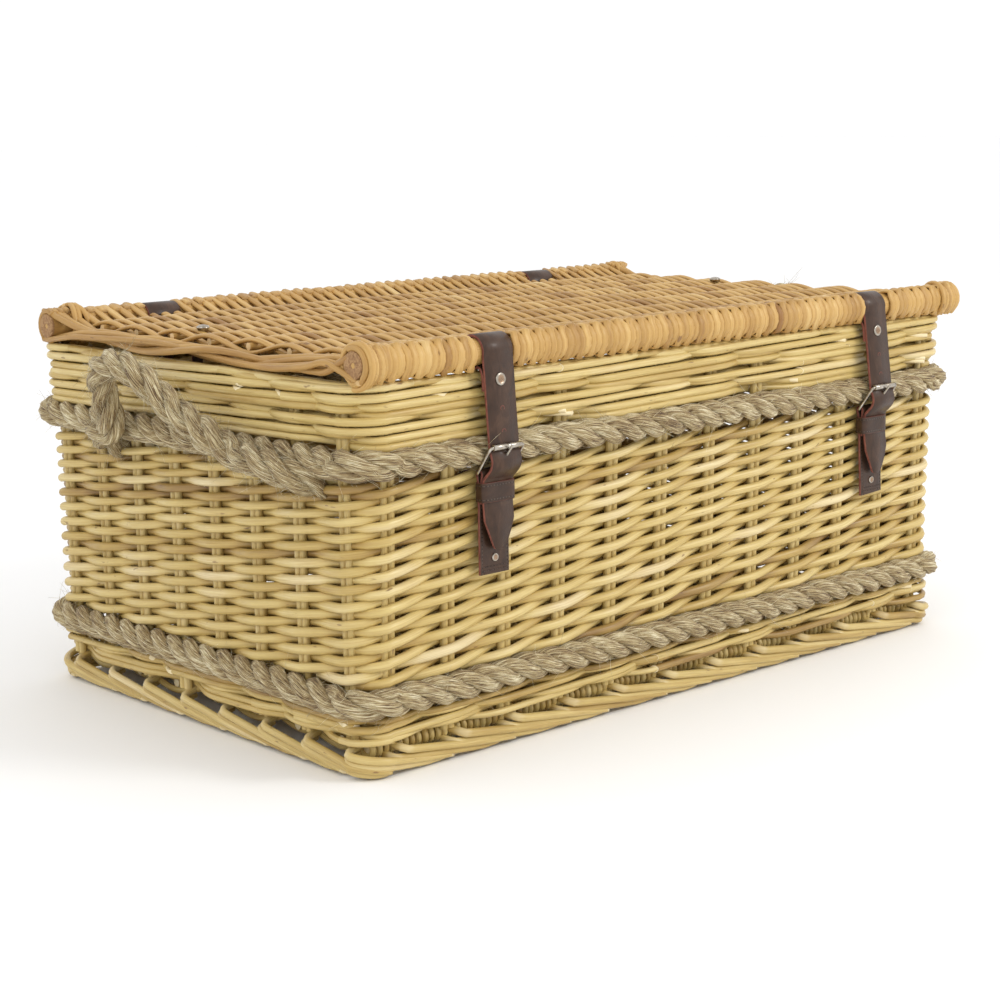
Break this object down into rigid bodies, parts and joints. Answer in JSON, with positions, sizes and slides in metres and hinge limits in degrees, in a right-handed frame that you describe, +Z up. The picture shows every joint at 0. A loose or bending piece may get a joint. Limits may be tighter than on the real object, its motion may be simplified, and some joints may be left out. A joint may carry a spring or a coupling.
{
  "type": "wicker storage trunk",
  "caption": "Rectangular willow trunk with a hinged woven lid, rope bands and end handles, closed by buckled leather straps.",
  "frame": {"origin": "on the floor under the middle of the trunk's box", "axes": "+X along the trunk to its right end, +Y to the back with the hinges, +Z up; the front with the straps faces -Y"},
  "size_m": [0.8328, 0.4872, 0.331],
  "materials": {
    "willow": "satin",
    "lid_willow": "satin",
    "rope": "rough",
    "leather": "glossy",
    "steel": "polished"
  },
  "bodies": {
    "trunk": {"base_sticks": "willow", "base_weave": "willow", "foot_border": "willow", "stakes_front": "willow", "stakes_back": "willow", "stakes_left": "willow", "stakes_right": "willow", "upsett_wale": "willow", "lower_rope_band": "rope", "siding_weave": "willow", "upper_rope_band": "rope", "top_wale": "willow", "chape_left": "leather", "chape_right": "leather", "keeper_left": "leather", "keeper_right": "leather", "chape_rivets": "steel", "backing_strips": "leather", "hinge_loop_left": "leather", "hinge_loop_right": "leather", "hinge_rivets": "steel", "lid_stay_left": "leather", "lid_stay_right": "leather", "stay_wall_pegs": "willow", "handle_tails_left": "rope", "handle_tails_right": "rope"},
    "lid": {"lid_front_rod": "lid_willow", "lid_back_rod": "lid_willow", "lid_sticks": "lid_willow", "lid_weave": "lid_willow", "lid_end_band_left": "lid_willow", "lid_end_band_right": "lid_willow", "stay_lid_studs": "steel"},
    "strap_left": {"strap_left": "leather", "strap_rivet_left": "steel"},
    "strap_right": {"strap_right": "leather", "strap_rivet_right": "steel"},
    "buckle_left": {"buckle_frame_left": "steel"},
    "buckle_right": {"buckle_frame_right": "steel"},
    "roller_left": {"roller_left": "steel"},
    "roller_right": {"roller_right": "steel"},
    "prong_left": {"prong_left": "steel"},
    "prong_right": {"prong_right": "steel"},
    "handle_left": {"handle_left": "rope"},
    "handle_right": {"handle_right": "rope"}
  },
  "joints": [
    {"name": "lid_hinge", "type": "hinge", "parent": "trunk", "child": "lid", "pos_m": [0, 0.212, 0.317], "axis": [-1, 0, 0], "range_deg": [0, 100], "deforming": ["lid_stay_left", "lid_stay_right"]},
    {"name": "strap_left_swing", "type": "hinge", "parent": "lid", "child": "strap_left", "pos_m": [-0.229, -0.216, 0.317], "axis": [-1, 0, 0], "range_deg": [0, 100], "deforming": ["strap_left"]},
    {"name": "strap_right_swing", "type": "hinge", "parent": "lid", "child": "strap_right", "pos_m": [0.236, -0.216, 0.317], "axis": [-1, 0, 0], "range_deg": [0, 100], "deforming": ["strap_right"]},
    {"name": "buckle_left_swing", "type": "hinge", "parent": "trunk", "child": "buckle_left", "pos_m": [-0.229, -0.2224, 0.224], "axis": [1, 0, 0], "range_deg": [0, 40]},
    {"name": "roller_left_spin", "type": "hinge", "parent": "buckle_left", "child": "roller_left", "pos_m": [-0.229, -0.2384, 0.246], "axis": [1, 0, 0], "continuous": true},
    {"name": "prong_left_swing", "type": "hinge", "parent": "buckle_left", "child": "prong_left", "pos_m": [-0.229, -0.2224, 0.224], "axis": [1, 0, 0], "range_deg": [0, 30]},
    {"name": "buckle_right_swing", "type": "hinge", "parent": "trunk", "child": "buckle_right", "pos_m": [0.236, -0.2224, 0.224], "axis": [1, 0, 0], "range_deg": [0, 40]},
    {"name": "roller_right_spin", "type": "hinge", "parent": "buckle_right", "child": "roller_right", "pos_m": [0.236, -0.2384, 0.246], "axis": [1, 0, 0], "continuous": true},
    {"name": "prong_right_swing", "type": "hinge", "parent": "buckle_right", "child": "prong_right", "pos_m": [0.236, -0.2224, 0.224], "axis": [1, 0, 0], "range_deg": [0, 30]},
    {"name": "handle_left_swing", "type": "hinge", "parent": "trunk", "child": "handle_left", "pos_m": [-0.3787, 0.007, 0.24], "axis": [0, -1, 0], "range_deg": [0, 90]},
    {"name": "handle_right_swing", "type": "hinge", "parent": "trunk", "child": "handle_right", "pos_m": [0.3787, 0.007, 0.24], "axis": [0, 1, 0], "range_deg": [0, 90]}
  ]
}
